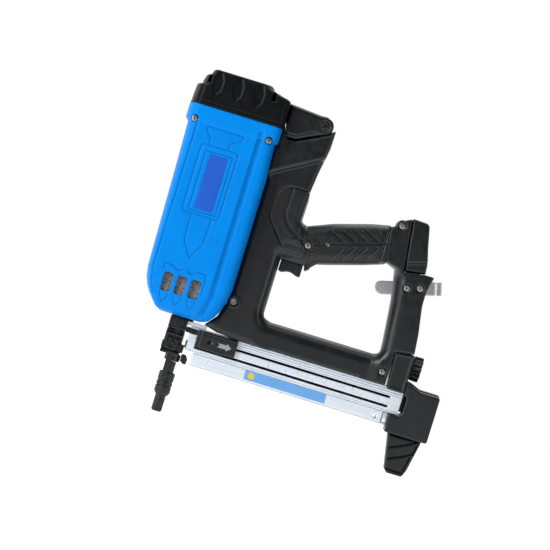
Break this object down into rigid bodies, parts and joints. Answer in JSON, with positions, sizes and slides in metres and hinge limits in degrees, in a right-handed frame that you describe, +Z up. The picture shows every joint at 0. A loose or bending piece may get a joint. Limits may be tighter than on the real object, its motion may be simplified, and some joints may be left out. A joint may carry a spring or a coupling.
{
  "type": "cordless gas concrete nailer",
  "caption": "Gas-driven nailer with a fuel cell, a battery and a straight pin magazine, drawn as separate shells, engine, nose, trigger and magazine.",
  "frame": {"origin": "middle of the underside of the bounding box, level with the muzzle's face", "axes": "+Z up along the driving axis, away from the muzzle; +X rearwards to the end of the magazine; +Y to the tool's right side, where the belt hook is"},
  "size_m": [0.39, 0.104, 0.4108],
  "materials": {
    "housing_black": "fine moulded texture with a slight bluish sheen",
    "cover_blue": "smooth moulded plastic",
    "grip_rubber": "matt rubber",
    "foam": "open grey filter mesh",
    "aluminium": "drawn, lightly brushed",
    "steel": "machined and ground",
    "dark_steel": "phosphated",
    "can": "satin lacquer",
    "brass": "yellow passivated",
    "board_green": "solder mask"
  },
  "bodies": {
    "housing": {"cap": "housing_black", "housing_left": "housing_black", "housing_right": "housing_black", "metering_valve": "housing_black", "trigger_switch": "housing_black", "rear_block_left": "housing_black", "foot": "housing_black", "clamp_bracket": "housing_black", "front_cover_left": "cover_blue", "front_cover_right": "cover_blue", "grip_pad_left": "grip_rubber", "grip_pad_right": "grip_rubber", "bumper": "grip_rubber", "intake_filter": "foam", "vent_mesh_left": "foam", "vent_mesh_right": "foam", "cylinder_head": "aluminium", "nose_housing": "aluminium", "magazine_rail": "aluminium", "magazine_track": "aluminium", "cylinder": "steel", "nose_block": "steel", "nose_plate": "steel", "strap_guide_left": "steel", "strap_guide_right": "steel", "probe_spring": "steel", "door_pin": "steel", "trigger_spring": "steel", "belt_hook": "steel", "hook_screw_front": "steel", "hook_screw_rear": "steel", "pusher_spring": "steel", "cover_screw_front": "steel", "cover_screw_rear": "steel", "fan_motor": "dark_steel", "magazine_end": "dark_steel", "magazine_hanger": "dark_steel", "rear_block_right": "dark_steel", "fuel_cell": "can", "spark_plug": "can", "shell_screw_grip": "brass", "shell_screw_tower": "brass", "shell_screw_column": "brass", "shell_screw_post": "brass", "battery_terminals": "brass", "control_board": "board_green"},
    "probe": {"probe_tube": "steel", "probe_sleeve": "dark_steel", "probe_linkage": "steel", "combustion_chamber": "aluminium"},
    "piston": {"piston": "aluminium", "driver_blade": "steel"},
    "fan": {"fan": "aluminium"},
    "pusher": {"pusher": "housing_black"},
    "fuel_door": {"fuel_door": "housing_black"},
    "trigger": {"trigger": "housing_black"},
    "battery": {"battery_pack": "housing_black"},
    "knob": {"knob": "housing_black"},
    "nose_latch": {"nose_latch": "steel"}
  },
  "joints": [
    {"name": "probe_slide", "type": "slide", "parent": "housing", "child": "probe", "axis": [0, 0, 1], "range_m": [0, 0.011], "stiffness_N_per_m": 3000, "springref_m": -0.02, "deforming": ["probe_spring"]},
    {"name": "piston_slide", "type": "slide", "parent": "housing", "child": "piston", "axis": [0, 0, 1], "range_m": [-0.0975, 0]},
    {"name": "fan_spin", "type": "hinge", "parent": "housing", "child": "fan", "pos_m": [-0.126, 0, 0.329], "axis": [0, 0, 1], "continuous": true},
    {"name": "pusher_slide", "type": "slide", "parent": "housing", "child": "pusher", "axis": [1, 0, 0], "range_m": [0, 0.183], "stiffness_N_per_m": 20, "springref_m": -0.5},
    {"name": "fuel_door_hinge", "type": "hinge", "parent": "housing", "child": "fuel_door", "pos_m": [-0.032, 0, 0.384], "axis": [0, 1, 0], "range_deg": [0, 85]},
    {"name": "trigger_pull", "type": "slide", "parent": "housing", "child": "trigger", "axis": [0, 0, 1], "range_m": [0, 0.006], "stiffness_N_per_m": 1200, "springref_m": -0.004, "deforming": ["trigger_spring"]},
    {"name": "battery_slide", "type": "slide", "parent": "housing", "child": "battery", "axis": [-0.1204, 0, 0.9927], "range_m": [0, 0.07]},
    {"name": "knob_turn", "type": "hinge", "parent": "housing", "child": "knob", "pos_m": [0.158, 0, 0.139], "axis": [1, 0, 0], "continuous": true},
    {"name": "nose_latch_hinge", "type": "hinge", "parent": "housing", "child": "nose_latch", "pos_m": [-0.1135, 0, 0.072], "axis": [0, 1, 0], "range_deg": [-12, 0], "stiffness_Nm_per_rad": 0.3, "springref_deg": 5.73}
  ]
}
